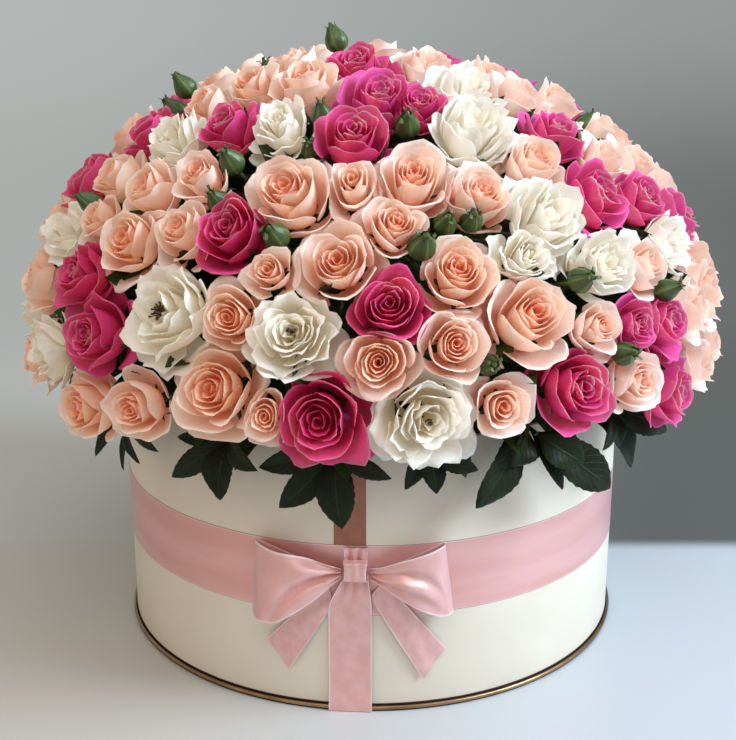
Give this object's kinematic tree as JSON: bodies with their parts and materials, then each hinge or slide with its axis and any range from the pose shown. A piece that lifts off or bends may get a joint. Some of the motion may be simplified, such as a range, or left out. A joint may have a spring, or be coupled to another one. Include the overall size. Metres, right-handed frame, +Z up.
{
  "type": "flower hat box",
  "caption": "Round cardboard hat box with a satin ribbon and bow, filled with a dome of roses, buds and leaves standing in wet foam; a free-standing table decoration.",
  "frame": {"origin": "centre of the underside of the box, on the table", "axes": "+Z up through the middle of the dome, the bow and the front face -Y, +X to the right seen from the front"},
  "size_m": [0.4776, 0.4789, 0.4241],
  "materials": {
    "cream_card": "satin",
    "grey_board": "matte",
    "gold_trim": "satin",
    "liner_plastic": "gloss",
    "wet_foam": "matte",
    "dusty_satin": "satin",
    "taupe_satin": "satin",
    "peach_petals": "satin",
    "magenta_petals": "satin",
    "white_petals": "satin",
    "leaf_green": "satin"
  },
  "bodies": {
    "root": {"base_trim": "gold_trim", "bow_knot": "dusty_satin", "bow_loop_left": "dusty_satin", "bow_loop_right": "dusty_satin", "bow_tail_left": "dusty_satin", "bow_tail_right": "dusty_satin", "box_floor": "grey_board", "box_wall": "cream_card", "foam": "wet_foam", "leaf_spray_01": "leaf_green", "leaf_spray_02": "leaf_green", "leaf_spray_03": "leaf_green", "leaf_spray_04": "leaf_green", "leaf_spray_05": "leaf_green", "leaf_spray_06": "leaf_green", "leaf_spray_07": "leaf_green", "leaf_spray_08": "leaf_green", "leaf_spray_09": "leaf_green", "leaf_spray_10": "leaf_green", "leaf_spray_11": "leaf_green", "liner": "liner_plastic", "magenta_roses_01": "magenta_petals", "magenta_roses_02": "magenta_petals", "magenta_roses_03": "magenta_petals", "magenta_roses_04": "magenta_petals", "magenta_roses_05": "magenta_petals", "magenta_roses_06": "magenta_petals", "magenta_roses_07": "magenta_petals", "magenta_roses_08": "magenta_petals", "magenta_roses_09": "magenta_petals", "magenta_roses_10": "magenta_petals", "magenta_roses_11": "magenta_petals", "peach_roses_01": "peach_petals", "peach_roses_02": "peach_petals", "peach_roses_03": "peach_petals", "peach_roses_04": "peach_petals", "peach_roses_05": "peach_petals", "peach_roses_06": "peach_petals", "peach_roses_07": "peach_petals", "peach_roses_08": "peach_petals", "peach_roses_09": "peach_petals", "peach_roses_10": "peach_petals", "peach_roses_11": "peach_petals", "peach_roses_12": "peach_petals", "peach_roses_13": "peach_petals", "peach_roses_14": "peach_petals", "ribbon_band": "dusty_satin", "ribbon_drop": "dusty_satin", "ribbon_riser": "taupe_satin", "white_roses_01": "white_petals", "white_roses_02": "white_petals", "white_roses_03": "white_petals", "white_roses_04": "white_petals", "white_roses_05": "white_petals", "white_roses_06": "white_petals", "white_roses_07": "white_petals", "white_roses_08": "white_petals", "white_roses_09": "white_petals", "white_roses_10": "white_petals", "white_roses_11": "white_petals"}
  },
  "joints": []
}
